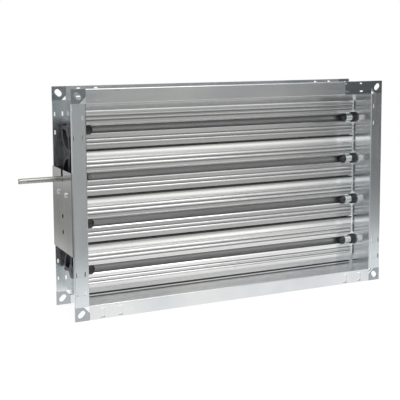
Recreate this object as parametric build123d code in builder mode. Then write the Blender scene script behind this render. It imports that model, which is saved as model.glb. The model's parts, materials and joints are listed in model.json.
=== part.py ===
from build123d import *
import os
from math import acos, cos, degrees, pi, radians, sin, sqrt, tan

# Volume control damper for a rectangular duct: opposed blades in a folded sheet frame.
# Frame of reference: origin at the centre of the opening, in the front flange face.
# X runs across the duct, Y along it from front to rear, and Z is up.

# ---- Driving dimensions, mm ----
opening_width = 496.0  # between the webs of the side channels
frame_depth = 100.0
flange_width = 22.0  # from the inner face of a web to the outer edge of its flange
sheet = 1.0  # galvanised sheet of the channels
hem_width = 14.0  # the flange edge is folded back over this width
fold_radius = 1.4  # outside radius of the folds

bracket_thickness = 2.0
bracket_reach = 80.0  # a corner bracket's leg, from the outer corner
bracket_leg_width = 13.0
bracket_fit = 0.2  # between a leg and the fold of the hem
bolt_inset = 10.0  # corner slot centre, from both outer edges
bolt_slot_width = 8.5
bolt_slot_length = 13.0
corner_gusset = 7.0  # raised triangle at the inner corner of a bracket
gusset_height = 0.6

crimp_places = (42.0, 70.0)  # pressed tabs that lock a bracket leg, from the outer corner
crimp_width = 6.6
crimp_slot = 2.2
crimp_outer = 3.6  # centre of a tab's outer slot, from the outer edge
crimp_inner = 16.5  # centre of its inner slot
crimp_depth = 0.4

blade_count = 4
blade_pitch = 71.0
blade_lap = 5.0  # how far a sealed edge passes the middle between two pivots
end_gap = 1.0  # from a sealed edge to the top or bottom web
side_gap = 3.6  # from a blade end to a side web

seal_clearance = 1.5  # from a closed seal to the body of the next blade
wing_half = 3.2  # half the thickness of a blade's hollow wing
shoulder_height = 1.8  # a shoulder stands this far out of the wing, beside the lip
shoulder_drop = 0.5  # its crest, inside the end of the body
shoulder_rise = 2.4  # its steep side
shoulder_ramp = 6.5  # its long side, towards the lip
lip_offset = 2.4  # middle of a lip, from the plane of the pivots
lip_thickness = 1.6
seal_thickness = 2.2
seal_height = 2.1
skin = 1.2  # wall of a wing
hub_inner = 6.8  # radius of the open channel along the middle of a blade
hub_wall = 1.6
mouth_depth = 3.0  # where the channel's mouth starts to flare
mouth_flare = 1.5
rim_depth = 5.2  # the rims of the channel, from the plane of the pivots
rib_places = (17.6, 23.4)  # ribs along both faces, from the middle
rib_height = 1.2
rib_base = 3.4
rib_crest = 1.0
notch_depth = 8.0  # the hub is cut back at a blade's ends, for the rings
notch_fit = 0.2  # past the hub
bush_clearance = 0.8  # from a bush to the blade round it

bush_flange_radius = 10.0
bush_flange = 6.0  # stands this far into the duct
bush_radius = 7.0
bush_end = 1.8  # past the outside of the web
bush_fit = 0.1
running_fit = 0.05

ring_radius = 8.5
ring_gap = 0.3
sleeve_length = 6.9  # of a right-hand ring, inside the blade's hub
pin_radius = 5.0
plug_fit = 0.05
left_plug = 9.0  # straight part of a left-hand pin's plug in the blade
left_nose = 3.5
left_nose_radius = 5.0
drive_plug = 3.9  # the left-hand plug of the drive blade, which the shaft passes through
drive_nose = 1.0
right_plug = 3.5
right_nose = 13.0
pin_end = 4.0  # a right-hand pin's end, past the outside of the web
pin_past_gear = 0.6  # a left-hand pin's end, past its gear
pin_flats = 8.0  # across the flats that turn a gear
chamfer_size = 0.6

gear_gap = 3.0  # from the outside of the web to a gear
gear_width = 8.0
gear_teeth = 36  # on a full circle
gear_backlash = 0.25  # taken off each flank, degrees
gear_hub_radius = 11.0
gear_rim = 4.0  # solid rim under the teeth
gear_spoke = 5.0
gear_spoke_inset = 8.0  # middle of an end spoke, from the end of the rim, degrees
pressure_angle = 20.0

shaft_radius = 4.0
shaft_reach = 66.0  # past the outer edge of the flange
shaft_square = 6.0  # the inner end, squared to turn the left-hand pin
shaft_show = 5.0  # the squared end, past the plug in the blade's hub
slit_length = 13.0
slit_width = 1.2

plate_above = 13.5  # from the shaft's axis to the top edge of the plate
plate_height = 123.0
plate_leg = 13.0
plate_slot = 9.5
plate_hole_radius = 3.5
plate_hole_drops = (56.5, 80.5)  # the two round holes, below the shaft's axis

rivet_drop = 21.9  # below the shaft's axis
rivet_spacing = 37.4
rivet_radius = 2.4
rivet_head_radius = 4.2
rivet_head = 1.6
rivet_tail_radius = 3.4
rivet_tail = 1.2

# ---- Worked out ----
half_width = opening_width / 2
half_height = blade_count * blade_pitch / 2 + blade_lap + end_gap
outer_x = half_width + flange_width
outer_z = half_height + flange_width
axis_y = frame_depth / 2
hem_depth = 2 * sheet + bracket_thickness
tip_radius = blade_pitch / 2 + blade_lap
lip_tip = tip_radius - seal_height
body_half = blade_pitch - tip_radius - seal_clearance
blade_half = half_width - side_gap
notch_face = blade_half - notch_depth
web_outside = half_width + sheet
hub_outer = hub_inner + hub_wall
gear_inner = web_outside + gear_gap
gear_outer = gear_inner + gear_width
pin_outer_end = gear_outer + pin_past_gear
pivot_heights = [blade_pitch * (blade_count - 1) / 2 - blade_pitch * i for i in range(blade_count)]
drive_blade = 1  # the second pivot from the top carries the shaft


def save(piece, name):
    """Label a finished piece and write it as its own STEP file."""
    piece.part.label = name
    export_step(piece.part, f"parts/{name}.step")


def section_plane(outward, start):
    """A plane across a channel: local x along the duct, local y out of the opening."""
    run = Vector(0, 1, 0).cross(Vector(*outward))
    return Plane(origin=run * start, x_dir=(0, 1, 0), z_dir=run)


def rail_plane(outward, depth):
    """A plane in a flange: local x along the rail, local y out of the opening."""
    run = Vector(0, 1, 0).cross(Vector(*outward))
    return Plane(origin=(0, depth, 0), x_dir=run, z_dir=run.cross(Vector(*outward)))


def folded_channel(outward, half_opening, half_across, half_length, pivots=()):
    """One side of the frame: a web with a hemmed flange at the front and at the rear."""
    outer = half_opening + flange_width
    frame_end = half_across + flange_width  # outer corner of the frame, along this side
    section = section_plane(outward, -half_length)
    with BuildPart() as channel:
        with BuildSketch(section):
            with Locations((frame_depth / 2, half_opening + sheet / 2)):
                Rectangle(frame_depth, sheet)
            for front in (True, False):
                first = sheet / 2 if front else frame_depth - sheet / 2
                fold = hem_depth / 2 if front else frame_depth - hem_depth / 2
                back = hem_depth - sheet / 2 if front else frame_depth - hem_depth + sheet / 2
                with Locations((first, (half_opening + outer) / 2)):
                    Rectangle(sheet, flange_width)
                with Locations((fold, outer - sheet / 2)):
                    Rectangle(hem_depth, sheet)
                with Locations((back, outer - hem_width / 2)):
                    Rectangle(sheet, hem_width)
        extrude(amount=2 * half_length)
        folds = channel.edges().filter_by(Axis((0, 0, 0), section.z_dir)).group_by(Axis.Y)
        fillet(folds[0] + folds[-1], fold_radius)
        # Tabs pressed in over the bracket legs, each between two slots.
        for depth in (0, frame_depth):
            with BuildSketch(rail_plane(outward, depth)):
                for place in crimp_places:
                    for end in (-1, 1):
                        for across in (crimp_outer, crimp_inner):
                            with Locations((end * (frame_end - place), outer - across)):
                                Rectangle(crimp_width, crimp_slot)
            extrude(amount=hem_depth, both=True, mode=Mode.SUBTRACT)
            with BuildSketch(rail_plane(outward, depth)):
                for place in crimp_places:
                    for end in (-1, 1):
                        across = (crimp_outer + crimp_inner) / 2
                        with Locations((end * (frame_end - place), outer - across)):
                            Rectangle(crimp_width, crimp_inner - crimp_outer)
            extrude(amount=crimp_depth, both=True, mode=Mode.SUBTRACT)
        # Holes for the bushes of the pivots.
        if pivots:
            with BuildSketch(Plane(origin=Vector(*outward) * half_opening, x_dir=(0, 1, 0), z_dir=(1, 0, 0))):
                with Locations([(axis_y, height) for height in pivots]):
                    Circle(bush_radius + bush_fit)
            extrude(amount=2 * sheet, both=True, mode=Mode.SUBTRACT)
    return channel


def corner_bracket(side_x, side_z, depth, inward):
    """A pressed L that joins two rails: a slotted corner and a leg in each hem."""
    face = Plane(origin=(0, depth, 0), x_dir=(1, 0, 0), z_dir=(0, inward, 0))
    up = -inward  # local y against Z
    x, z = side_x * outer_x, side_z * outer_z * up
    square_height = flange_width - sheet  # down to the end of the side channel's web
    with BuildPart() as bracket:
        with BuildSketch(face):
            with Locations((x - side_x * flange_width / 2, z - side_z * up * square_height / 2)):
                Rectangle(flange_width, square_height)
            leg = bracket_reach - square_height
            along = square_height + leg / 2
            across = sheet + bracket_fit + bracket_leg_width / 2
            with Locations((x - side_x * along, z - side_z * up * across)):
                Rectangle(leg, bracket_leg_width)
            with Locations((x - side_x * across, z - side_z * up * along)):
                Rectangle(bracket_leg_width, leg)
            with Locations((x - side_x * bolt_inset, z - side_z * up * bolt_inset)):
                turn = -45 * side_x * side_z * up
                SlotOverall(bolt_slot_length, bolt_slot_width, rotation=turn, mode=Mode.SUBTRACT)
            # The slots of the crimped tabs go through the legs too.
            for place in crimp_places:
                with Locations((x - side_x * place, z - side_z * up * crimp_outer)):
                    Rectangle(crimp_width, crimp_slot, mode=Mode.SUBTRACT)
                with Locations((x - side_x * crimp_outer, z - side_z * up * place)):
                    Rectangle(crimp_slot, crimp_width, mode=Mode.SUBTRACT)
        extrude(amount=bracket_thickness)
        # The raised gusset at the inner corner shows as a short diagonal.
        with BuildSketch(face):
            corner_x = x - side_x * flange_width
            corner_z = z - side_z * up * square_height
            with BuildLine():
                Polyline(
                    (corner_x, corner_z),
                    (corner_x + side_x * corner_gusset, corner_z),
                    (corner_x, corner_z + side_z * up * corner_gusset),
                    (corner_x, corner_z),
                )
            make_face()
        extrude(amount=-gusset_height)
    return bracket


def blade(height):
    """An extruded aluminium blade: two hollow ribbed wings, two lips and an open hub."""
    plane = Plane(origin=(-blade_half, axis_y, height), x_dir=(0, 1, 0), z_dir=(1, 0, 0))
    lip_front = lip_offset + lip_thickness / 2
    lip_rear = lip_offset - lip_thickness / 2
    crest = body_half - shoulder_drop
    half_outline = [
        (-wing_half, -body_half),
        (-wing_half, crest - shoulder_rise),
        (-wing_half - shoulder_height, crest),
        (-lip_front, crest + shoulder_ramp),
        (-lip_front, lip_tip),
        (-lip_rear, lip_tip),
        (-lip_rear, body_half),
    ]
    with BuildPart() as extrusion:
        with BuildSketch(plane):
            with BuildLine():
                turned = [(-y, -z) for y, z in half_outline]
                Polyline(half_outline + turned, close=True)
            make_face()
            # The hub is a channel, round behind and open with two rims in front.
            Circle(hub_outer)
            with Locations((-rim_depth / 2, 0)):
                Rectangle(rim_depth, 2 * hub_outer)
            Circle(hub_inner, mode=Mode.SUBTRACT)
            mouth = sqrt(hub_inner**2 - mouth_depth**2)
            with BuildLine():
                Polyline(
                    (0, mouth),
                    (-mouth_depth, mouth),
                    (-rim_depth, mouth + mouth_flare),
                    (-hub_outer, mouth + mouth_flare),
                    (-hub_outer, -mouth - mouth_flare),
                    (-rim_depth, -mouth - mouth_flare),
                    (-mouth_depth, -mouth),
                    (0, -mouth),
                    close=True,
                )
            make_face(mode=Mode.SUBTRACT)
            # Hollow wings.
            pocket = body_half - skin - hub_outer - skin
            with Locations(
                (0, body_half - skin - pocket / 2),
                (0, -body_half + skin + pocket / 2),
            ):
                Rectangle(2 * (wing_half - skin), pocket, mode=Mode.SUBTRACT)
            # Pairs of ribs along both faces.
            for face in (-1, 1):
                for place in rib_places:
                    for middle in (-place, place):
                        with BuildLine():
                            Polyline(
                                (face * (wing_half - skin / 2), middle - rib_base / 2),
                                (face * wing_half, middle - rib_base / 2),
                                (face * (wing_half + rib_height), middle - rib_crest / 2),
                                (face * (wing_half + rib_height), middle + rib_crest / 2),
                                (face * wing_half, middle + rib_base / 2),
                                (face * (wing_half - skin / 2), middle + rib_base / 2),
                                close=True,
                            )
                        make_face()
        extrude(amount=2 * blade_half)
        # Each end is cut back over the hub for a ring, and a little wider round the bush.
        bush_cut = bush_flange - side_gap + bush_clearance
        with BuildSketch(Plane(origin=(0, axis_y, height), x_dir=(1, 0, 0), z_dir=(0, 1, 0))):
            for depth, half in (
                (notch_depth, hub_outer + notch_fit),
                (bush_cut, bush_flange_radius + bush_clearance),
            ):
                middle = blade_half - depth / 2
                with Locations((middle, 0), (-middle, 0)):
                    Rectangle(depth, 2 * half)
        extrude(amount=2 * hub_outer, both=True, mode=Mode.SUBTRACT)
    return extrusion


def edge_seals(height):
    """A round-nosed rubber bead on each lip of a blade."""
    plane = Plane(origin=(-blade_half, axis_y, height), x_dir=(0, 1, 0), z_dir=(1, 0, 0))
    nose = tip_radius - seal_thickness / 2
    with BuildPart() as seals:
        with BuildSketch(plane):
            for way in (1, -1):
                middle = -way * lip_offset
                left, right = middle - seal_thickness / 2, middle + seal_thickness / 2
                with BuildLine():
                    Line((left, way * lip_tip), (left, way * nose))
                    ThreePointArc((left, way * nose), (middle, way * tip_radius), (right, way * nose))
                    Line((right, way * nose), (right, way * lip_tip))
                    Line((right, way * lip_tip), (left, way * lip_tip))
                make_face()
        extrude(amount=2 * blade_half)
    return seals


def turning_plane(side, height):
    """The plane for profiles turned about a pivot: local x outwards along the pivot."""
    return Plane(origin=(0, axis_y, height), x_dir=(side, 0, 0), z_dir=(0, -side, 0))


def pivot_axis(side, height):
    return Axis((0, axis_y, height), (side, 0, 0))


def pivot_bushes(height):
    """The two plastic bushes of a pivot, each pressed through a web from inside the duct."""
    bore = pin_radius + running_fit
    with BuildPart() as bushes:
        for side in (-1, 1):
            with BuildSketch(turning_plane(side, height)):
                with BuildLine():
                    Polyline(
                        (half_width - bush_flange, bore),
                        (half_width - bush_flange, bush_flange_radius),
                        (half_width, bush_flange_radius),
                        (half_width, bush_radius),
                        (web_outside + bush_end, bush_radius),
                        (web_outside + bush_end, bore),
                        close=True,
                    )
                make_face()
            revolve(axis=pivot_axis(side, height))
    return bushes


def thrust_rings(height):
    """The bright rings of a blade: a washer on the left, a sleeve in the hub on the right."""
    ring_outer_face = half_width - bush_flange - ring_gap
    with BuildPart() as rings:
        for side, start, radius in (
            (-1, notch_face, ring_radius),
            (1, notch_face - sleeve_length, hub_inner - plug_fit),
        ):
            with BuildSketch(turning_plane(side, height)):
                with BuildLine():
                    Polyline(
                        (start, pin_radius + running_fit),
                        (start, radius),
                        (ring_outer_face, radius),
                        (ring_outer_face, pin_radius + running_fit),
                        close=True,
                    )
                make_face()
            revolve(axis=pivot_axis(side, height))
    return rings


def left_pin_depth(carries_shaft):
    """How far a left-hand pin reaches into its blade's hub."""
    return drive_plug + drive_nose if carries_shaft else left_plug + left_nose


def pivot_pins(height, carries_shaft):
    """A blade's two plastic pins: a plug in its hub and a shank through the bush."""
    plug = hub_inner - plug_fit
    nose = drive_nose if carries_shaft else left_nose
    left_end = notch_face - left_pin_depth(carries_shaft)
    right_start = notch_face - sleeve_length
    left_profile = [
        (left_end, 0),
        (left_end, left_nose_radius),
        (left_end + nose, plug),
        (notch_face, plug),
        (notch_face, pin_radius),
        (pin_outer_end, pin_radius),
        (pin_outer_end, 0),
    ]
    right_profile = [
        (right_start - right_plug - right_nose, 0),
        (right_start - right_plug, plug),
        (right_start, plug),
        (right_start, pin_radius),
        (web_outside + pin_end, pin_radius),
        (web_outside + pin_end, 0),
    ]
    with BuildPart() as pins:
        for side, profile in ((-1, left_profile), (1, right_profile)):
            with BuildSketch(turning_plane(side, height)):
                with BuildLine():
                    Polyline(profile, close=True)
                make_face()
            revolve(axis=pivot_axis(side, height))
        # The left pin has two flats that turn its gear.
        across = Plane(origin=(-pin_outer_end, axis_y, height), x_dir=(0, 1, 0), z_dir=(1, 0, 0))
        with BuildSketch(across):
            for way in (-1, 1):
                with Locations((way * (pin_flats / 2 + pin_radius), 0)):
                    Rectangle(2 * pin_radius, 4 * pin_radius)
        extrude(amount=pin_outer_end - gear_inner, mode=Mode.SUBTRACT)
        if carries_shaft:
            with BuildSketch(across):
                Rectangle(shaft_square, shaft_square)
            extrude(amount=pin_outer_end - left_end, mode=Mode.SUBTRACT)
    return pins


def tooth_half_angle(radius, base_radius):
    """Half the angle that an involute tooth spans at this radius, in degrees."""

    def involute(angle):
        return tan(angle) - angle

    at_radius = acos(min(1.0, base_radius / radius))
    half = pi / (2 * gear_teeth) + involute(radians(pressure_angle)) - involute(at_radius)
    return degrees(half) - gear_backlash


def polar(radius, angle):
    return (radius * cos(radians(angle)), radius * sin(radians(angle)))


def gear_sector(height, quadrants, tooth_phase):
    """A toothed sector that turns with its blade. Quadrants give where it meshes, in degrees."""
    pitch_radius = blade_pitch / 2
    module = blade_pitch / gear_teeth
    base_radius = pitch_radius * cos(radians(pressure_angle))
    root_radius = pitch_radius - 1.25 * module
    rim_inside = root_radius - gear_rim
    tip = pitch_radius + module
    spacing = 360 / gear_teeth
    plane = Plane(origin=(-gear_outer, axis_y, height), x_dir=(0, 1, 0), z_dir=(1, 0, 0))
    with BuildPart() as gear:
        with BuildSketch(plane):
            for start in quadrants:
                first = start + tooth_phase - spacing
                count = round(90 / spacing) + 3 - (1 if tooth_phase else 0)
                last = first + spacing * (count - 1)
                low, high = first - spacing / 2, last + spacing / 2
                with BuildLine():
                    Line((0, 0), polar(root_radius, low))
                    middle = (low + high) / 2
                    ThreePointArc(
                        polar(root_radius, low), polar(root_radius, middle), polar(root_radius, high)
                    )
                    Line(polar(root_radius, high), (0, 0))
                make_face()
                # The sector is open between its rim, its hub and two spokes.
                with BuildLine():
                    Line((0, 0), polar(rim_inside, low))
                    ThreePointArc(
                        polar(rim_inside, low), polar(rim_inside, middle), polar(rim_inside, high)
                    )
                    Line(polar(rim_inside, high), (0, 0))
                make_face(mode=Mode.SUBTRACT)
                for angle in (low + gear_spoke_inset, high - gear_spoke_inset):
                    with Locations(polar(root_radius / 2, angle)):
                        Rectangle(root_radius - gear_rim / 2, gear_spoke, rotation=angle)
                for tooth in range(count):
                    at = first + spacing * tooth
                    base = tooth_half_angle(base_radius, base_radius)
                    mid = tooth_half_angle(pitch_radius, base_radius)
                    top = tooth_half_angle(tip, base_radius)
                    inner = root_radius - module / 4
                    with BuildLine():
                        Polyline(
                            polar(inner, at - base),
                            polar(pitch_radius, at - mid),
                            polar(tip, at - top),
                            polar(tip, at + top),
                            polar(pitch_radius, at + mid),
                            polar(inner, at + base),
                            close=True,
                        )
                    make_face()
            Circle(gear_hub_radius)
        extrude(amount=gear_width)
        with BuildSketch(plane):
            Circle(pin_radius + running_fit)
            Rectangle(pin_flats + 2 * running_fit, 4 * pin_radius, mode=Mode.INTERSECT)
        extrude(amount=gear_width, mode=Mode.SUBTRACT)
    return gear


os.makedirs("parts", exist_ok=True)

# ---- Frame: four folded channels joined by eight corner brackets ----
web_height = half_height + sheet
save(folded_channel((0, 0, 1), half_height, half_width, half_width), "top_channel")
save(folded_channel((0, 0, -1), half_height, half_width, half_width), "bottom_channel")
left_channel = folded_channel((-1, 0, 0), half_width, half_height, web_height, pivots=pivot_heights)
save(left_channel, "left_channel")
right_channel = folded_channel((1, 0, 0), half_width, half_height, web_height, pivots=pivot_heights)
save(right_channel, "right_channel")

for face_name, depth, inward in (("front", sheet, 1), ("rear", frame_depth - sheet, -1)):
    for level, side_z in (("top", 1), ("bottom", -1)):
        for hand, side_x in (("left", -1), ("right", 1)):
            save(corner_bracket(side_x, side_z, depth, inward), f"{face_name}_{level}_{hand}_bracket")

# ---- Blades with their seals, pins, rings, bushes and gears ----
for number, height in enumerate(pivot_heights, start=1):
    driven_down = number < blade_count
    driven_up = number > 1
    turns_back = number % 2 == 1  # these blades turn against the drive blade
    quadrants = []
    if driven_up:
        quadrants.append(90 if turns_back else 0)
    if driven_down:
        quadrants.append(-90 if turns_back else 180)
    phase = 0 if turns_back else 180 / gear_teeth
    save(blade(height), f"blade_{number}")
    save(edge_seals(height), f"blade_{number}_edge_seals")
    save(thrust_rings(height), f"blade_{number}_thrust_rings")
    save(pivot_pins(height, number - 1 == drive_blade), f"blade_{number}_pivot_pins")
    save(gear_sector(height, quadrants, phase), f"gear_sector_{number}")
    save(pivot_bushes(height), f"pivot_bushes_{number}")

# ---- Drive shaft ----
shaft_height = pivot_heights[drive_blade]
shaft_tip = outer_x + shaft_reach
with BuildPart() as drive_shaft:
    at_pin = Plane(origin=(-pin_outer_end, axis_y, shaft_height), x_dir=(0, 1, 0), z_dir=(1, 0, 0))
    with BuildSketch(at_pin):
        Circle(shaft_radius)
    extrude(amount=pin_outer_end - shaft_tip)
    chamfer(drive_shaft.edges().sort_by(Axis.X)[0], chamfer_size)
    with BuildSketch(at_pin):
        Rectangle(shaft_square - 2 * running_fit, shaft_square - 2 * running_fit)
    extrude(amount=pin_outer_end - notch_face + left_pin_depth(True) + shaft_show)
    # The saw cut in the tip shows which way the blades stand.
    with BuildSketch(Plane(origin=(-shaft_tip, axis_y, shaft_height), x_dir=(0, 1, 0), z_dir=(1, 0, 0))):
        Rectangle(4 * shaft_radius, slit_width)
    extrude(amount=slit_length, mode=Mode.SUBTRACT)
save(drive_shaft, "drive_shaft")

# ---- Actuator plate over the left channel, its legs welded to the backs of the hems ----
plate_top = shaft_height + plate_above
with BuildPart() as actuator_plate:
    with BuildSketch(Plane.XY.offset(plate_top - plate_height)):
        with Locations((-outer_x - sheet / 2, (hem_depth + frame_depth) / 2)):
            Rectangle(sheet, frame_depth - hem_depth)
        for y in (hem_depth + sheet / 2, frame_depth - hem_depth - sheet / 2):
            with Locations((-outer_x + plate_leg / 2, y)):
                Rectangle(plate_leg, sheet)
    extrude(amount=plate_height)
    with BuildSketch(Plane(origin=(-outer_x, axis_y, shaft_height), x_dir=(0, 1, 0), z_dir=(1, 0, 0))):
        # The shaft's slot is open at the top, so the plate drops in past the shaft.
        slot_top = plate_above + plate_slot
        slot_length = slot_top + plate_slot / 2
        with Locations((0, slot_top - slot_length / 2)):
            SlotOverall(slot_length, plate_slot, rotation=90)
        with Locations([(0, -drop) for drop in plate_hole_drops]):
            Circle(plate_hole_radius)
        with Locations([(way * rivet_spacing / 2, -rivet_drop) for way in (-1, 1)]):
            Circle(rivet_radius + running_fit)
    extrude(amount=2 * sheet, both=True, mode=Mode.SUBTRACT)
save(actuator_plate, "actuator_plate")

# ---- Two rivets in the plate ----
with BuildPart() as plate_rivets:
    for way in (-1, 1):
        place = (-outer_x - sheet, axis_y + way * rivet_spacing / 2, shaft_height - rivet_drop)
        outside = Plane(origin=place, x_dir=(0, 1, 0), z_dir=(-1, 0, 0))
        with BuildSketch(outside):
            Circle(rivet_head_radius)
        extrude(amount=rivet_head)
        with BuildSketch(outside):
            Circle(rivet_radius)
        extrude(amount=-sheet)
        with BuildSketch(outside.offset(-sheet)):
            Circle(rivet_tail_radius)
        extrude(amount=-rivet_tail)
save(plate_rivets, "plate_rivets")
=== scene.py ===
import json
import math

import bmesh
import bpy
from mathutils import Matrix, Vector

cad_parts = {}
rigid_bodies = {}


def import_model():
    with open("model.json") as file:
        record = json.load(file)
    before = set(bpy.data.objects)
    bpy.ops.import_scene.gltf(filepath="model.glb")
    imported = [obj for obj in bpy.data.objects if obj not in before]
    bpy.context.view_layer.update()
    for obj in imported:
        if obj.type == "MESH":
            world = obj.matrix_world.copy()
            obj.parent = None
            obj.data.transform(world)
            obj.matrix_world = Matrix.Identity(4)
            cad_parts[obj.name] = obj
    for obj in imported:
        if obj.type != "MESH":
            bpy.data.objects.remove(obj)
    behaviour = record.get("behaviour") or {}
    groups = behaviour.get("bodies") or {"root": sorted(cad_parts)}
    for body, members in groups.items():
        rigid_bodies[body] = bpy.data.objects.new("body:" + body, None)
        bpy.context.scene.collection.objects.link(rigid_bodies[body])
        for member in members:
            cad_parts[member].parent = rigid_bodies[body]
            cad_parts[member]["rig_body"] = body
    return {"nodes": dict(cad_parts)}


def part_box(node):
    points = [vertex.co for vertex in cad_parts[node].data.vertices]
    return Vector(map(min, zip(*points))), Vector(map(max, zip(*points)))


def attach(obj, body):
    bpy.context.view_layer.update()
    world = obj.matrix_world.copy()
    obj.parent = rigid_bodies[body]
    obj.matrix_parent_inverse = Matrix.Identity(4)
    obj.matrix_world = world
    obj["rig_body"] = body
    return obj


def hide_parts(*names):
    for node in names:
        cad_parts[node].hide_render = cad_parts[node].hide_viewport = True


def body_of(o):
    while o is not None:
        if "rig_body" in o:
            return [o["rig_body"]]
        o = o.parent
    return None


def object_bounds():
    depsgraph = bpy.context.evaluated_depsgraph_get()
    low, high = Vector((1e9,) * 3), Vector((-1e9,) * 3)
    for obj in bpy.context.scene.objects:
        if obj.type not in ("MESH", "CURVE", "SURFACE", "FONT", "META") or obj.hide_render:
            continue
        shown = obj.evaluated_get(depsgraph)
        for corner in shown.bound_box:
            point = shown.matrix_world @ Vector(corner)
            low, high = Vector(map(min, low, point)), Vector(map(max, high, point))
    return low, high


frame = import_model()
cad_low, cad_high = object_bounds()
nodes = frame["nodes"]


# ---------------------------------------------------------------------------
# Studio: a white paper floor and backdrop. Bare metal shows mostly what stands
# round it, so the room in front is dim at eye level, with a bright band just
# above that and a bright ceiling, and it darkens to the right.
# ---------------------------------------------------------------------------
scene = bpy.context.scene
scene.view_settings.view_transform = "Standard"

world = bpy.data.worlds.new("studio_world")
scene.world = world
world.use_nodes = True
world_tree = world.node_tree
world_tree.nodes.clear()
direction = world_tree.nodes.new("ShaderNodeTexCoord")
split = world_tree.nodes.new("ShaderNodeSeparateXYZ")
world_tree.links.new(direction.outputs["Generated"], split.inputs[0])


def remap(tree, value, low, high, to_low, to_high):
    """A value carried from one range into another, and held inside it."""
    node = tree.nodes.new("ShaderNodeMapRange")
    node.inputs["From Min"].default_value = low
    node.inputs["From Max"].default_value = high
    node.inputs["To Min"].default_value = to_low
    node.inputs["To Max"].default_value = to_high
    tree.links.new(value, node.inputs["Value"])
    return node.outputs["Result"]


def combine(tree, operation, first, *others):
    """Values added or multiplied together, one after the other."""
    total = first
    for value in others:
        node = tree.nodes.new("ShaderNodeMath")
        node.operation = operation
        tree.links.new(total, node.inputs[0])
        tree.links.new(value, node.inputs[1])
        total = node.outputs[0]
    return total


def mix_colours(tree, kind, factor, first, second):
    """Two colours mixed or multiplied. Each input is a constant or another node's output."""
    node = tree.nodes.new("ShaderNodeMix")
    node.data_type = "RGBA"
    node.blend_type = kind
    for value, socket in ((factor, "Factor"), (first, "A"), (second, "B")):
        if isinstance(value, bpy.types.NodeSocket):
            tree.links.new(value, node.inputs[socket])
        elif isinstance(value, tuple):
            node.inputs[socket].default_value = (*value, 1)
        else:
            node.inputs[socket].default_value = value
    return node.outputs["Result"]


def mix_shaders(tree, factor, first, second):
    node = tree.nodes.new("ShaderNodeMixShader")
    if isinstance(factor, bpy.types.NodeSocket):
        tree.links.new(factor, node.inputs["Fac"])
    else:
        node.inputs["Fac"].default_value = factor
    tree.links.new(first.outputs[0], node.inputs[1])
    tree.links.new(second.outputs[0], node.inputs[2])
    return node


def room_ramp(axis, stops):
    """Colours of the room by one component of the direction, from -1 to 1."""
    ramp = world_tree.nodes.new("ShaderNodeValToRGB")
    world_tree.links.new(remap(world_tree, split.outputs[axis], -1, 1, 0, 1), ramp.inputs["Fac"])
    while len(ramp.color_ramp.elements) < len(stops):
        ramp.color_ramp.elements.new(0.5)
    for element, (component, colour) in zip(ramp.color_ramp.elements, stops):
        element.position = (component + 1) / 2
        element.color = (*colour, 1.0)
    return ramp.outputs["Color"]


by_height = room_ramp("Z", (
    (-1.00, (0.16, 0.16, 0.16)),
    (-0.40, (0.24, 0.24, 0.24)),
    (-0.22, (0.42, 0.42, 0.41)),
    (-0.13, (0.38, 0.38, 0.37)),
    (-0.05, (0.34, 0.34, 0.33)),
    (0.04, (0.34, 0.34, 0.33)),
    (0.11, (1.20, 1.20, 1.20)),
    (0.21, (1.20, 1.20, 1.20)),
    (0.28, (0.46, 0.46, 0.46)),
    (0.58, (0.46, 0.46, 0.46)),
    (0.76, (1.00, 1.00, 1.00)),
    (0.88, (1.00, 1.00, 1.00)),
    (1.00, (0.70, 0.72, 0.75)),
))
by_side = room_ramp("X", (
    (-1.0, (1.25, 1.25, 1.25)),
    (-0.2, (1.25, 1.25, 1.25)),
    (0.10, (0.95, 0.96, 0.96)),
    (0.29, (0.88, 0.88, 0.87)),
    (0.43, (1.25, 1.25, 1.22)),
    (0.53, (1.05, 1.06, 1.06)),
    (0.56, (0.40, 0.42, 0.43)),
    (0.59, (0.08, 0.085, 0.09)),
    (1.0, (0.16, 0.18, 0.19)),
))
behind = room_ramp("Y", ((-1.0, (0, 0, 0)), (0.1, (0, 0, 0)), (0.5, (1, 1, 1)), (1.0, (1, 1, 1))))
in_front = mix_colours(world_tree, "MULTIPLY", 1.0, by_height, by_side)
room = mix_colours(world_tree, "MIX", behind, in_front, (0.62, 0.63, 0.63))
lit = world_tree.nodes.new("ShaderNodeBackground")
lit.inputs["Strength"].default_value = 1.15
world_tree.links.new(room, lit.inputs["Color"])
white = world_tree.nodes.new("ShaderNodeBackground")
white.inputs["Color"].default_value = (1.0, 1.0, 1.0, 1.0)
white.inputs["Strength"].default_value = 1.0
world_ray = world_tree.nodes.new("ShaderNodeLightPath")
shown = mix_shaders(world_tree, world_ray.outputs["Is Camera Ray"], lit, white)
world_end = world_tree.nodes.new("ShaderNodeOutputWorld")
world_tree.links.new(shown.outputs[0], world_end.inputs["Surface"])

floor_size = 2.4
floor_gap = 0.0003  # under the damper
bm = bmesh.new()
bmesh.ops.create_grid(bm, x_segments=1, y_segments=1, size=floor_size / 2)
bmesh.ops.translate(bm, verts=bm.verts, vec=(0, 0, cad_low[2] - floor_gap))
floor_mesh = bpy.data.meshes.new("studio_floor")
bm.to_mesh(floor_mesh)
bm.free()
floor = bpy.data.objects.new("studio_floor", floor_mesh)
scene.collection.objects.link(floor)

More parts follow.
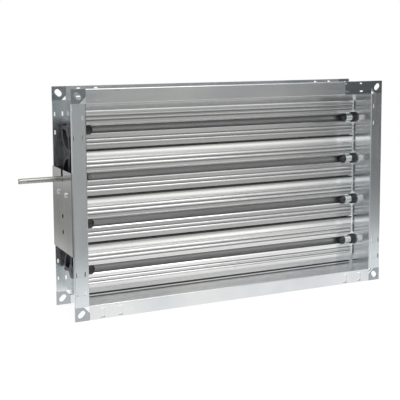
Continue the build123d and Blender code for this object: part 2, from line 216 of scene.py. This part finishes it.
# The paper is plain white, and seen directly it keeps only a faint shadow. Mirrored in
# metal it is well lit near the damper, and dim farther in front and at both sides.
paper = bpy.data.materials.new("white_paper")
paper.use_nodes = True
paper_tree = paper.node_tree
paper_tree.nodes.clear()
matt = paper_tree.nodes.new("ShaderNodeBsdfDiffuse")
matt.inputs["Color"].default_value = (0.82, 0.82, 0.82, 1)
glow = paper_tree.nodes.new("ShaderNodeEmission")
glow.inputs["Strength"].default_value = 1.1
shadowed = mix_shaders(paper_tree, 0.8, matt, glow)
on_floor = paper_tree.nodes.new("ShaderNodeTexCoord")
along_floor = paper_tree.nodes.new("ShaderNodeSeparateXYZ")
paper_tree.links.new(on_floor.outputs["Object"], along_floor.inputs[0])
lit_near = remap(paper_tree, along_floor.outputs["Y"], -0.42, -0.16, 0.42, 1.15)
lit_left = remap(paper_tree, along_floor.outputs["X"], -0.44, -0.34, 0.30, 1.0)
lit_right = remap(paper_tree, along_floor.outputs["X"], 0.62, 0.92, 1.0, 0.40)
lit_floor = combine(paper_tree, "MULTIPLY", lit_near, lit_left, lit_right)
mirrored = paper_tree.nodes.new("ShaderNodeEmission")
paper_tree.links.new(lit_floor, mirrored.inputs["Strength"])
paper_ray = paper_tree.nodes.new("ShaderNodeLightPath")
by_mirror = mix_shaders(paper_tree, paper_ray.outputs["Is Glossy Ray"], matt, mirrored)
by_eye = mix_shaders(paper_tree, paper_ray.outputs["Is Camera Ray"], by_mirror, shadowed)
paper_end = paper_tree.nodes.new("ShaderNodeOutputMaterial")
paper_tree.links.new(by_eye.outputs[0], paper_end.inputs["Surface"])
floor.data.materials.append(paper)

# One large softbox above and in front, and a weaker one from the left.
lamps = (
    ("top_softbox", (0.1, -0.9, 1.6), (0.0, 0.05, 0.0), 1.6, 16.0),
    ("left_softbox", (-1.6, -0.8, 0.7), (0.0, 0.05, 0.0), 1.2, 2.0),
)
for name, lamp_place, aim, size, watts in lamps:
    lamp = bpy.data.lights.new(name, "AREA")
    lamp.size = size
    lamp.energy = watts
    holder = bpy.data.objects.new(name, lamp)
    holder.location = lamp_place
    holder.rotation_euler = (Vector(aim) - Vector(lamp_place)).to_track_quat("-Z", "Y").to_euler()
    scene.collection.objects.link(holder)


# ---------------------------------------------------------------------------
# Camera: to the left of the damper and a little above its top, looking to the
# right and slightly down. The picture is shifted, so that the verticals lean
# only a little.
# ---------------------------------------------------------------------------
camera_place = Vector((-0.642, -1.2165, 0.234))
yaw, pitch, roll = math.radians(25.26), math.radians(6.22), math.radians(-0.31)
ahead = Vector((math.sin(yaw) * math.cos(pitch), math.cos(yaw) * math.cos(pitch), -math.sin(pitch)))
level = Vector((math.cos(yaw), -math.sin(yaw), 0))
right = math.cos(roll) * level + math.sin(roll) * level.cross(ahead)
above = right.cross(ahead)
camera_data = bpy.data.cameras.new("camera")
camera_data.sensor_width = 36.0
camera_data.lens = 80.01
camera_data.shift_y = -0.15
camera = bpy.data.objects.new("camera", camera_data)
turn = Matrix((right, above, -ahead)).transposed().to_4x4()
camera.matrix_world = Matrix.Translation(camera_place) @ turn
scene.collection.objects.link(camera)
scene.camera = camera


# ---------------------------------------------------------------------------
# Frame: channels folded from hot-dip galvanised sheet, with hemmed flanges.
# The zinc has a faint spangle, a soft cloudy sheen and fine rolling marks
# along the sheet.
# ---------------------------------------------------------------------------
def new_material(name):
    material = bpy.data.materials.new(name)
    material.use_nodes = True
    tree = material.node_tree
    tree.nodes.clear()
    shader = tree.nodes.new("ShaderNodeBsdfPrincipled")
    output = tree.nodes.new("ShaderNodeOutputMaterial")
    tree.links.new(shader.outputs[0], output.inputs["Surface"])
    return material, tree, shader


def object_pattern(tree, kind, scale, stretch=(1, 1, 1), **settings):
    """A texture on Object coordinates, in patterns per metre, stretched along an axis."""
    where = tree.nodes.new("ShaderNodeTexCoord")
    mapping = tree.nodes.new("ShaderNodeMapping")
    mapping.inputs["Scale"].default_value = stretch
    tree.links.new(where.outputs["Object"], mapping.inputs["Vector"])
    texture = tree.nodes.new(kind)
    texture.inputs["Scale"].default_value = scale
    for key, value in settings.items():
        texture.inputs[key].default_value = value
    tree.links.new(mapping.outputs[0], texture.inputs["Vector"])
    return texture


def tinted(tree, shader, pattern, low, high, first, second):
    """A base colour that wanders between two as the pattern goes from low to high."""
    tint = mix_colours(tree, "MIX", remap(tree, pattern, low, high, 0, 1), first, second)
    tree.links.new(tint, shader.inputs["Base Color"])


def bump(tree, shader, height, distance):
    node = tree.nodes.new("ShaderNodeBump")
    node.inputs["Strength"].default_value = 1.0
    node.inputs["Distance"].default_value = distance
    tree.links.new(height, node.inputs["Height"])
    tree.links.new(node.outputs[0], shader.inputs["Normal"])


def galvanised(name, along, dark=(0.60, 0.62, 0.64), light=(0.70, 0.71, 0.71)):
    """Zinc-coated sheet, rolled along one axis."""
    material, tree, shader = new_material(name)
    spangle = object_pattern(tree, "ShaderNodeTexVoronoi", 260.0)
    clouds = object_pattern(tree, "ShaderNodeTexNoise", 9.0, Detail=3.0, Roughness=0.5)
    stretch = [60.0, 60.0, 60.0]
    stretch[along] = 1.2
    rolling = object_pattern(tree, "ShaderNodeTexNoise", 8.0, stretch=stretch, Detail=3.0)
    tinted(tree, shader, clouds.outputs["Fac"], 0.35, 0.65, dark, light)
    shader.inputs["Metallic"].default_value = 0.92
    crystals = remap(tree, spangle.outputs["Color"], 0, 1, -0.02, 0.02)
    worn = remap(tree, rolling.outputs["Fac"], 0.3, 0.7, 0.17, 0.26)
    tree.links.new(combine(tree, "ADD", crystals, worn), shader.inputs["Roughness"])
    heights = combine(
        tree,
        "ADD",
        remap(tree, rolling.outputs["Fac"], 0, 1, 0, 0.3),
        remap(tree, clouds.outputs["Fac"], 0, 1, 0, 3.0),
        remap(tree, spangle.outputs["Distance"], 0, 1, 0, 0.08),
    )
    bump(tree, shader, heights, 0.00004)
    return material


def dress(material, *names):
    for name in names:
        mesh = nodes[name].data
        mesh.materials.clear()
        mesh.materials.append(material)


mm = 0.001
across_sheet = galvanised("galvanised_sheet_across", 0)
upright_sheet = galvanised("galvanised_sheet_upright", 2, (0.57, 0.61, 0.63), (0.67, 0.70, 0.71))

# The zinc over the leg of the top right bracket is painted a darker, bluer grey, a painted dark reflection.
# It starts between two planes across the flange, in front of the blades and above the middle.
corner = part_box("front_top_right_bracket")[1][0]
leg_starts = (corner - 74.5 * mm, corner - 73.5 * mm)
sheet_tree = across_sheet.node_tree
sheet_shader = next(node for node in sheet_tree.nodes if node.type == "BSDF_PRINCIPLED")
on_sheet = sheet_tree.nodes.new("ShaderNodeTexCoord")
sheet_place = sheet_tree.nodes.new("ShaderNodeSeparateXYZ")
sheet_tree.links.new(on_sheet.outputs["Object"], sheet_place.inputs[0])
painted_reflection_over_leg = combine(
    sheet_tree,
    "MULTIPLY",
    remap(sheet_tree, sheet_place.outputs["X"], *leg_starts, 0, 1),
    remap(sheet_tree, sheet_place.outputs["Y"], 50 * mm, 40 * mm, 0, 1),
    remap(sheet_tree, sheet_place.outputs["Z"], 0, 10 * mm, 0, 1),
)
plain_zinc = sheet_shader.inputs["Base Color"].links[0].from_socket
# Painted reflection: a darker, bluer zinc mixed in over the leg.
zinc_with_painted_reflection = mix_colours(sheet_tree, "MIX", painted_reflection_over_leg, plain_zinc, (0.27, 0.30, 0.32))
sheet_tree.links.new(zinc_with_painted_reflection, sheet_shader.inputs["Base Color"])

dress(across_sheet, "top_channel", "bottom_channel")
dress(upright_sheet, "left_channel", "right_channel")


# ---------------------------------------------------------------------------
# Corner brackets: pressed from thicker galvanised strip, with a slot for the
# duct's bolt and a raised web across the inner corner. Their legs slide into
# the hems and are locked there by crimped tabs.
# ---------------------------------------------------------------------------
def as_piece(name, bm):
    """The finished mesh as an object, smooth except at its sharp edges."""
    bmesh.ops.recalc_face_normals(bm, faces=bm.faces)
    mesh = bpy.data.meshes.new(name)
    bm.to_mesh(mesh)
    bm.free()
    for face in mesh.polygons:
        face.use_smooth = True
    mesh.set_sharp_from_angle(angle=math.radians(28))
    piece = bpy.data.objects.new(name, mesh)
    scene.collection.objects.link(piece)
    return piece


def prism(name, parts):
    """A solid of flat outlines. Each part gives its loops, edge first and then holes, and
    the matrix and length of its extrusion; all of them end up in one mesh."""
    bm = bmesh.new()
    for loops, matrix, length in parts:
        new_edges = []
        for loop in loops:
            corners = [bm.verts.new((x, y, 0)) for x, y in loop]
            new_edges += [bm.edges.new(pair) for pair in zip(corners, corners[1:] + corners[:1])]
        filled = bmesh.ops.triangle_fill(bm, use_beauty=True, edges=new_edges)["geom"]
        faces = [item for item in filled if isinstance(item, bmesh.types.BMFace)]
        start = {vertex for face in faces for vertex in face.verts}
        grown = bmesh.ops.extrude_face_region(bm, geom=faces)["geom"]
        end = [item for item in grown if isinstance(item, bmesh.types.BMVert)]
        bmesh.ops.translate(bm, verts=end, vec=(0, 0, length))
        bmesh.ops.transform(bm, matrix=matrix, verts=list(start) + end)
    return as_piece(name, bm)


def stand_for(piece, node, material):
    """Show this piece in place of a CAD node, on the same body."""
    piece.data.materials.append(material)
    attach(piece, body_of(nodes[node])[0])
    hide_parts(node)


def obround(middle, length, width, slope):
    """A slot's edge: two half circles, its long way turned by slope degrees."""
    points = []
    for way in (1, -1):
        for step in range(9):
            angle = math.radians(slope) + way * math.pi / 2 - math.pi / 2
            angle += math.radians(-90 + 22.5 * step)
            reach = way * (length - width) / 2
            points.append((
                middle[0] + reach * math.cos(math.radians(slope)) + width / 2 * math.cos(angle),
                middle[1] + reach * math.sin(math.radians(slope)) + width / 2 * math.sin(angle),
            ))
    return points


def box_edge(middle, width, height):
    x, y = middle
    return [(x + sx * width / 2, y + sy * height / 2) for sx, sy in ((-1, -1), (1, -1), (1, 1), (-1, 1))]


def flat(y):
    """The outline is drawn looking along the duct, and stands upright in it."""
    return Matrix(((1, 0, 0, 0), (0, 0, 1, y), (0, 1, 0, 0), (0, 0, 0, 1)))


bracket_zinc = galvanised("galvanised_bracket", 0, (0.29, 0.32, 0.34), (0.39, 0.415, 0.43))
# The raised web is a near-white zinc, a painted highlight along the inner corner.
web_zinc_painted_highlight = galvanised("galvanised_bracket_web_painted_highlight", 0, (0.84, 0.85, 0.86), (0.90, 0.90, 0.90))
brackets = [
    f"{face}_{level}_{hand}_bracket"
    for face in ("front", "rear")
    for level in ("top", "bottom")
    for hand in ("left", "right")
]
strip = 2 * mm  # thickness
square = 22 * mm  # both ways, from the outer corner
leg_near = 1.2 * mm  # a leg's edges, from the outer edge
leg_far = 14.2 * mm
slot_inset, slot_length, slot_width = 10 * mm, 13 * mm, 8.5 * mm
tab_places = (42 * mm, 70 * mm)
tab_inset, tab_length, tab_width = 3.6 * mm, 6.6 * mm, 2.2 * mm
cut_corner = 8 * mm  # off the square's inner corner
web_width, web_height = 2.2 * mm, 0.9 * mm

for name in brackets:
    low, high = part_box(name)
    reach = high[0] - low[0]
    side_x = 1 if "right" in name else -1
    side_z = 1 if "top" in name else -1
    corner_x = high[0] if side_x > 0 else low[0]
    corner_z = high[2] if side_z > 0 else low[2]
    front = "front" in name
    depth = high[1] - strip if front else low[1]

    def inwards(x, z):
        """A place by its distances from the outer corner."""
        return (corner_x - side_x * x, corner_z - side_z * z)

    edge = [
        inwards(0, 0), inwards(square, 0), inwards(square, leg_near), inwards(reach, leg_near),
        inwards(reach, leg_far), inwards(square, leg_far),
        inwards(square, square - cut_corner), inwards(square - cut_corner, square),
        inwards(leg_far, square), inwards(leg_far, reach),
        inwards(leg_near, reach), inwards(leg_near, square), inwards(0, square),
    ]
    slope = 45 * side_x * side_z
    holes = [obround(inwards(slot_inset, slot_inset), slot_length, slot_width, slope)]
    for tab in tab_places:
        holes.append(box_edge(inwards(tab, tab_inset), tab_length, tab_width))
        holes.append(box_edge(inwards(tab_inset, tab), tab_width, tab_length))
    web_end = square - cut_corner - web_width
    diagonal = [
        inwards(square, square - cut_corner), inwards(square - cut_corner, square),
        inwards(web_end, square), inwards(square, web_end),
    ]
    web_depth = depth - web_height if front else depth + strip
    piece = prism(f"pressed_{name}", [
        ([edge] + holes, flat(depth), strip),
        ([diagonal], flat(web_depth), web_height),
    ])
    stand_for(piece, name, bracket_zinc)
    piece.data.materials.append(web_zinc_painted_highlight)
    # The raised web's faces take the near-white zinc: painted highlight.
    for face in piece.data.polygons:
        raised = depth - face.center[1] if front else face.center[1] - depth - strip
        if raised > 0.1 * mm:
            face.material_index = 1


# ---------------------------------------------------------------------------
# Blades: hollow aluminium extrusions with round ribs and an open hub channel.
# The die leaves fine lines along the whole length, and the mill finish is
# satin with long soft streaks. The hub is cut back at both ends.
# ---------------------------------------------------------------------------
def extruded_aluminium(name, dark, light, smooth=0.15, rough=0.24):
    material, tree, shader = new_material(name)
    die_lines = object_pattern(tree, "ShaderNodeTexNoise", 9.0, stretch=(0.25, 130.0, 130.0), Detail=5.0)
    streaks = object_pattern(tree, "ShaderNodeTexNoise", 3.0, stretch=(0.8, 30.0, 30.0), Detail=2.0)
    tinted(tree, shader, streaks.outputs["Fac"], 0.35, 0.65, dark, light)
    shader.inputs["Metallic"].default_value = 0.95
    satin = remap(tree, die_lines.outputs["Fac"], 0.3, 0.7, smooth, rough)
    tree.links.new(satin, shader.inputs["Roughness"])
    bump(tree, shader, remap(tree, die_lines.outputs["Fac"], 0, 1, 0, 1), 0.00001)
    return material


blade_metal = extruded_aluminium("extruded_aluminium", (0.72, 0.72, 0.715), (0.82, 0.82, 0.815))
# A darker aluminium, used as painted shade in the bore, under the beads and in the grooves.
painted_shade_aluminium = extruded_aluminium("aluminium_painted_shade", (0.37, 0.37, 0.375), (0.43, 0.43, 0.43), 0.38, 0.5)
numbers = range(1, 5)

# The section, in mm from the pivot: out of the blade's plane, then up.
wing, body_half = 3.2, 29.0
shoulder, shoulder_foot, shoulder_top, ramp_end = 5.0, 26.1, 28.5, 35.0
lip_front, lip_rear, lip_tip = 3.2, 1.6, 38.4
hollow_half, hollow_low, hollow_high = 1.9, 12.0, 27.4
rim, hub_wall, hub_bore = 5.2, 8.4, 6.8
mouth, mouth_flare = 5.6, 1.5
bead_places, bead_half, bead_height = (15.9, 22.0), 1.9, 1.6
beads_start, beads_end = 12.0, 25.0
groove_width, groove_depth, groove_slope = 1.5, 0.8, 0.2  # along the lower edge of each bead
hub_cut, bush_cut = 8.6, 10.8  # where the wings start along the blade, and beside the bushes
# How much earlier these parts end than the blade.
hub_short_left, hub_short_right, bush_short = 8.0, 15.0, 3.2


def bead(face, middle):
    """A round rib along one face over a narrow groove, drawn upwards."""
    low = middle - bead_half - groove_width
    floor_out = face * (wing - groove_depth)
    points = [
        (face * wing, low),
        (floor_out, low + groove_slope),
        (floor_out, middle - bead_half - groove_slope),
    ]
    for step in range(9):
        angle = math.radians(22.5 * step)
        points.append((face * (wing + bead_height * math.sin(angle)), middle - bead_half * math.cos(angle)))
    return points


def arc(radius, first, last, steps):
    """Points of an arc round the pivot, in degrees from the rear and upwards."""
    turns = [math.radians(first + (last - first) * step / steps) for step in range(steps + 1)]
    return [(radius * math.cos(turn), radius * math.sin(turn)) for turn in turns]


def wing_section(start):
    """The upper wing from this height to its lip: front face upwards, rear face down."""
    front = [(-wing, start)]
    for place in bead_places:
        front += bead(-1, place)
    front += [
        (-wing, shoulder_foot), (-shoulder, shoulder_top),
        (-lip_front, ramp_end), (-lip_front, lip_tip),
    ]
    rear = [(wing, start)]
    for place in bead_places:
        rear += bead(1, place)
    rear += [(wing, body_half), (-lip_rear, body_half), (-lip_rear, lip_tip)]
    hollow = [
        (-hollow_half, hollow_low), (hollow_half, hollow_low),
        (hollow_half, hollow_high), (-hollow_half, hollow_high),
    ]
    return [front + rear[::-1], hollow]


def hub_section():
    """The open channel in the middle, with its two rims in front."""
    open_angle = math.degrees(math.acos(math.sqrt(hub_bore**2 - mouth**2) / hub_bore))
    back_angle = math.degrees(math.acos(wing / hub_wall))
    flare = mouth + mouth_flare
    bore = arc(hub_bore, -180 + open_angle, 180 - open_angle, 28)
    lower = [(-wing, -hub_cut), (-wing, -hub_wall), (-rim, -hub_wall), (-rim, -flare)]
    upper = [(-rim, flare), (-rim, hub_wall), (-wing, hub_wall), (-wing, hub_cut)]
    back = arc(hub_wall, back_angle, -back_angle, 18)
    return [lower + bore + upper + [(wing, hub_cut)] + back + [(wing, -hub_cut)]]


def turned_over(loops):
    return [[(-a, -b) for a, b in loop] for loop in loops]


for n in numbers:
    low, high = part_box(f"blade_{n}")
    height = (low[2] + high[2]) / 2
    axis = (low[1] + high[1]) / 2
    half = (high[0] - low[0]) / 2
    beside_bush = half - bush_short * mm
    parts = []
    for start, stop, section in (
        (-half + hub_short_left * mm, half - hub_short_right * mm, hub_section()),
        (-beside_bush, beside_bush, wing_section(hub_cut)),
        (-beside_bush, beside_bush, turned_over(wing_section(hub_cut))),
        (-half, -beside_bush, wing_section(bush_cut)),
        (-half, -beside_bush, turned_over(wing_section(bush_cut))),
        (beside_bush, half, wing_section(bush_cut)),
        (beside_bush, half, turned_over(wing_section(bush_cut))),
    ):
        # Section in mm, lengths in metres: x of the section lies along the duct.
        along = Matrix(((0, 0, 1, start), (mm, 0, 0, axis), (0, mm, 0, height), (0, 0, 0, 1)))
        parts.append((section, along, stop - start))
    piece = prism(f"ribbed_blade_{n}", parts)
    stand_for(piece, f"blade_{n}", blade_metal)
    piece.data.materials.append(painted_shade_aluminium)
    # The bore, the undersides of the beads and the grooves below them take a darker aluminium: painted
    # shade.
    for face in piece.data.polygons:
        out, up = (face.center[1] - axis) / mm, (face.center[2] - height) / mm
        in_bore = math.hypot(out, up) < hub_bore
        under_bead = face.normal[2] < -0.25 and beads_start < abs(up) < beads_end
        inside_face = wing - groove_depth - groove_slope < abs(out) < wing - 0.1
        in_groove = inside_face and bush_cut < abs(up) < beads_end
        if abs(face.normal[0]) < 0.5 and (in_bore or under_bead or in_groove):
            face.material_index = 1


# ---------------------------------------------------------------------------
# Edge seals: soft black rubber, extruded and pushed on the lips of each blade,
# where closed blades come together.
# ---------------------------------------------------------------------------
def moulded(name, colour, rough_low, rough_high, grain, depth):
    """Plain moulded plastic or rubber with a fine grain."""
    material, tree, shader = new_material(name)
    texture = object_pattern(tree, "ShaderNodeTexNoise", grain, Detail=4.0)
    lighter = tuple(min(1.0, c * 1.6) for c in colour)
    tinted(tree, shader, texture.outputs["Fac"], 0.3, 0.7, colour, lighter)
    rough = remap(tree, texture.outputs["Fac"], 0.3, 0.7, rough_low, rough_high)
    tree.links.new(rough, shader.inputs["Roughness"])
    bump(tree, shader, texture.outputs["Fac"], depth)
    return material


seal_rubber = moulded("black_rubber", (0.012, 0.012, 0.013), 0.55, 0.75, 900.0, 0.00005)
dress(seal_rubber, *[f"blade_{n}_edge_seals" for n in numbers])


# ---------------------------------------------------------------------------
# Pivot bushes: black nylon mouldings, pressed into the webs of the side
# channels from inside the duct up to their flanges.
# ---------------------------------------------------------------------------
def turned(name, profiles, axis, height):
    """Solids turned about a pivot, all in one mesh. A profile gives places along and
    out from the axis, in metres, and closes on itself or ends on the axis."""
    bm = bmesh.new()
    for profile in profiles:
        points = [bm.verts.new((x, axis, height + radius)) for x, radius in profile]
        edges = [bm.edges.new(pair) for pair in zip(points, points[1:])]
        bmesh.ops.spin(
            bm, geom=points + edges, cent=(0, axis, height), axis=(1, 0, 0),
            angle=2 * math.pi, steps=48, use_merge=True,
        )
    bmesh.ops.remove_doubles(bm, verts=bm.verts, dist=1e-6)
    return as_piece(name, bm)


nylon = moulded("black_nylon", (0.014, 0.014, 0.016), 0.32, 0.5, 600.0, 0.00003)
inside, web = 242 * mm, 248 * mm  # a bush's flange, from the middle of the duct
flange, neck, bush_bore = 8.7 * mm, 7 * mm, 5.05 * mm
round_edge = 1.2 * mm
half_round = 0.35 * round_edge
pivots = {}

for n in numbers:
    low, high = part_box(f"pivot_bushes_{n}")
    axis, height = (low[1] + high[1]) / 2, (low[2] + high[2]) / 2
    pivots[n] = (axis, height)
    outside = high[0]
    profile = [
        (inside, bush_bore), (inside, flange - round_edge), (inside + half_round, flange - half_round),
        (inside + round_edge, flange), (web, flange), (web, neck),
        (outside, neck), (outside, bush_bore), (inside, bush_bore),
    ]
    bushes = turned(f"moulded_bushes_{n}", [profile, [(-x, radius) for x, radius in profile]], axis, height)
    stand_for(bushes, f"pivot_bushes_{n}", nylon)


# ---------------------------------------------------------------------------
# Pivot pins: black nylon mouldings. A plug with a tapered nose sits in the
# blade's hub, and the shank turns in the bush. The drive blade's left plug
# is short and blunt, to let the end of the shaft through.
# ---------------------------------------------------------------------------
plug, shank = 6.7 * mm, 5 * mm
right_tip, right_shoulder = 219.5 * mm, 229.5 * mm
right_nose = ((0, 0), (0.3 * mm, 1.4 * mm), (2.2 * mm, 3.9 * mm), (5.0 * mm, 5.8 * mm))
nose_edge = 2.0 * mm
left_shoulder = 236.4 * mm
left_ends = {1: 223.9 * mm, 2: 231.5 * mm, 3: 223.9 * mm, 4: 223.9 * mm}
left_noses = {1: 3.5 * mm, 2: 1.0 * mm, 3: 3.5 * mm, 4: 3.5 * mm}

for n in numbers:
    axis, height = pivots[n]
    low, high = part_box(f"blade_{n}_pivot_pins")
    right_pin = [(right_tip + x, radius) for x, radius in right_nose]
    right_pin += [
        (right_shoulder - nose_edge, plug), (right_shoulder, plug), (right_shoulder, shank),
        (high[0], shank), (high[0], 0),
    ]
    end, nose = left_ends[n], left_noses[n]
    left_pin = [
        (-end, 0), (-end, 4.2 * mm), (-end - 0.35 * nose, 5.6 * mm), (-end - nose, plug),
        (-left_shoulder, plug), (-left_shoulder, shank), (low[0], shank), (low[0], 0),
    ]
    pins = turned(f"moulded_pins_{n}", [right_pin, left_pin], axis, height)
    stand_for(pins, f"blade_{n}_pivot_pins", nylon)


# ---------------------------------------------------------------------------
# Toothed sectors: black nylon mouldings, open between rim, hub and spokes.
# Each fits the flats of its blade's left-hand pin outside the web.
# ---------------------------------------------------------------------------
dress(nylon, *[f"gear_sector_{n}" for n in numbers])


# ---------------------------------------------------------------------------
# Thrust rings: turned from steel and zinc-plated bright. They run between the
# blade's end and the bush.
# ---------------------------------------------------------------------------
def turned_steel(name, colour, rough):
    material, tree, shader = new_material(name)
    marks = object_pattern(tree, "ShaderNodeTexNoise", 6.0, stretch=(160.0, 4.0, 4.0), Detail=3.0)
    darker = tuple(c * 0.88 for c in colour)
    tinted(tree, shader, marks.outputs["Fac"], 0.3, 0.7, darker, colour)
    shader.inputs["Metallic"].default_value = 1.0
    marked = remap(tree, marks.outputs["Fac"], 0.3, 0.7, rough, rough + 0.12)
    tree.links.new(marked, shader.inputs["Roughness"])
    bump(tree, shader, marks.outputs["Fac"], 0.00002)
    return material


ring_zinc = turned_steel("zinc_plated_ring", (0.86, 0.86, 0.85), 0.2)
dress(ring_zinc, *[f"blade_{n}_thrust_rings" for n in numbers])


# ---------------------------------------------------------------------------
# Drive shaft: drawn round bar, zinc-plated, with a saw cut in its tip. Its
# squared inner end turns the left-hand pin of the second blade.
# ---------------------------------------------------------------------------
shaft_zinc = turned_steel("zinc_plated_shaft", (0.36, 0.36, 0.34), 0.18)
dress(shaft_zinc, "drive_shaft")


# ---------------------------------------------------------------------------
# Actuator plate: galvanised sheet folded over the left channel and welded to
# its hems, slotted for the shaft and drilled for an actuator. Two bright
# rivets sit in its face.
# ---------------------------------------------------------------------------
plate_zinc = galvanised("galvanised_plate", 2, (0.36, 0.355, 0.34), (0.44, 0.435, 0.42))
dress(plate_zinc, "actuator_plate")
dress(ring_zinc, "plate_rivets")
